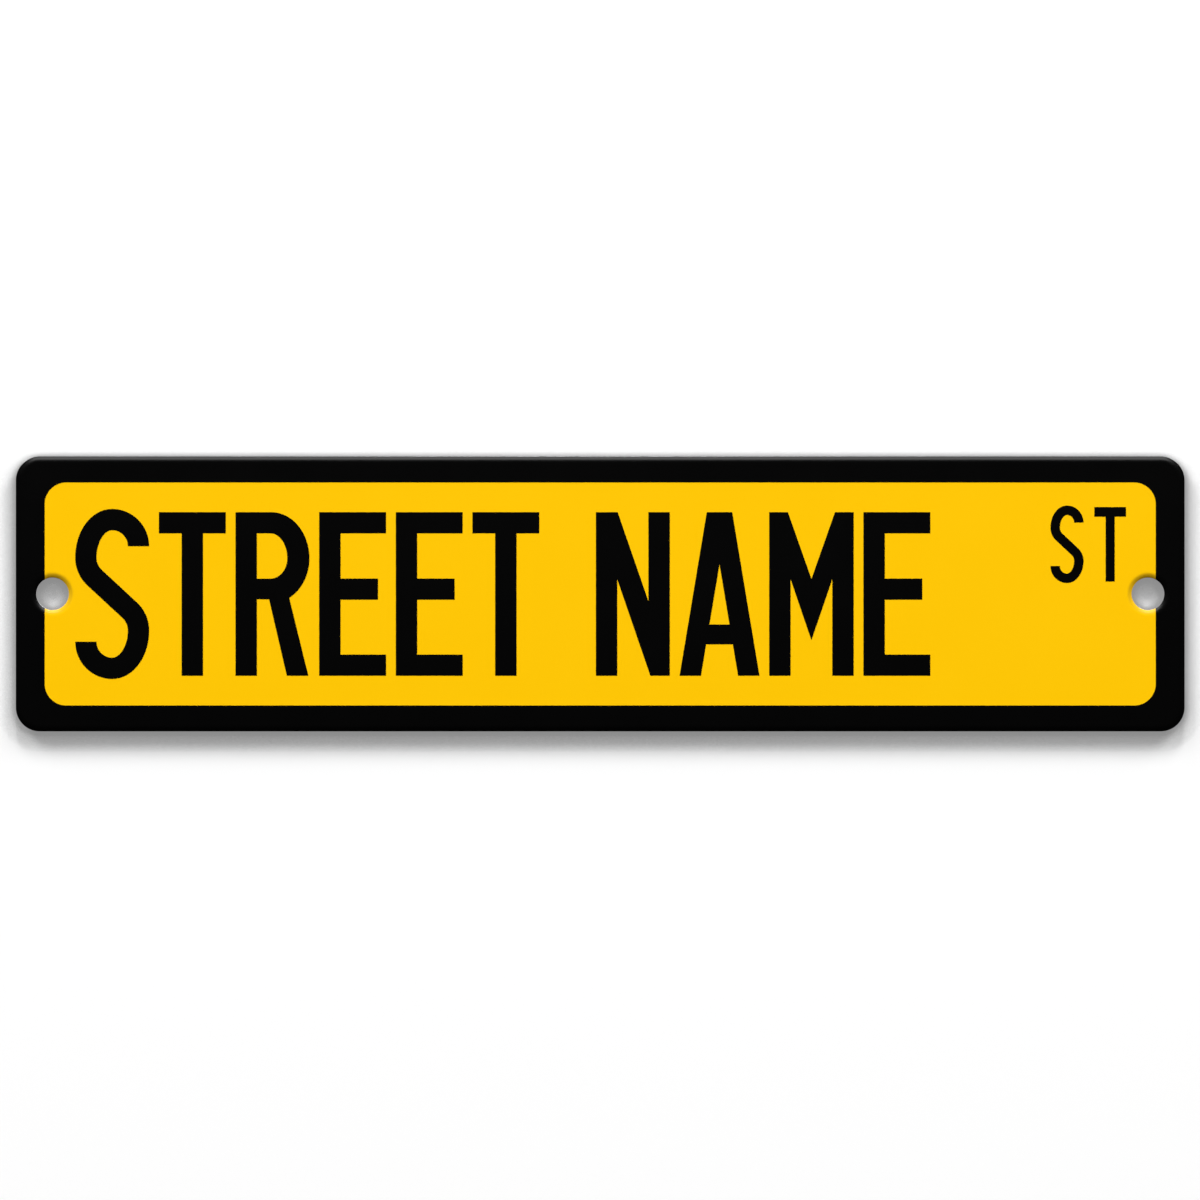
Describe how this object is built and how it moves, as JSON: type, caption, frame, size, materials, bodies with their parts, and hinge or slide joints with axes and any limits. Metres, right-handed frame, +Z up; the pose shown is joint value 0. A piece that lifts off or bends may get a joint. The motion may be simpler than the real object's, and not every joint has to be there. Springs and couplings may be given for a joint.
{
  "type": "street name sign",
  "caption": "Flat rectangular sheet-metal street name sign with rounded corners, rolled edges and a screw hole near each end.",
  "frame": {"origin": "middle of the back face, halfway between the two screw holes", "axes": "+X along the name, to the right seen from the front; +Z up; the printed face looks towards -Y and the back towards +Y"},
  "size_m": [0.4318, 0.0016, 0.1016],
  "materials": {
    "yellow_print": "satin",
    "black_print": "gloss",
    "bare_aluminium": "satin"
  },
  "bodies": {
    "root": {"sign_plate": "yellow_print"}
  },
  "joints": []
}
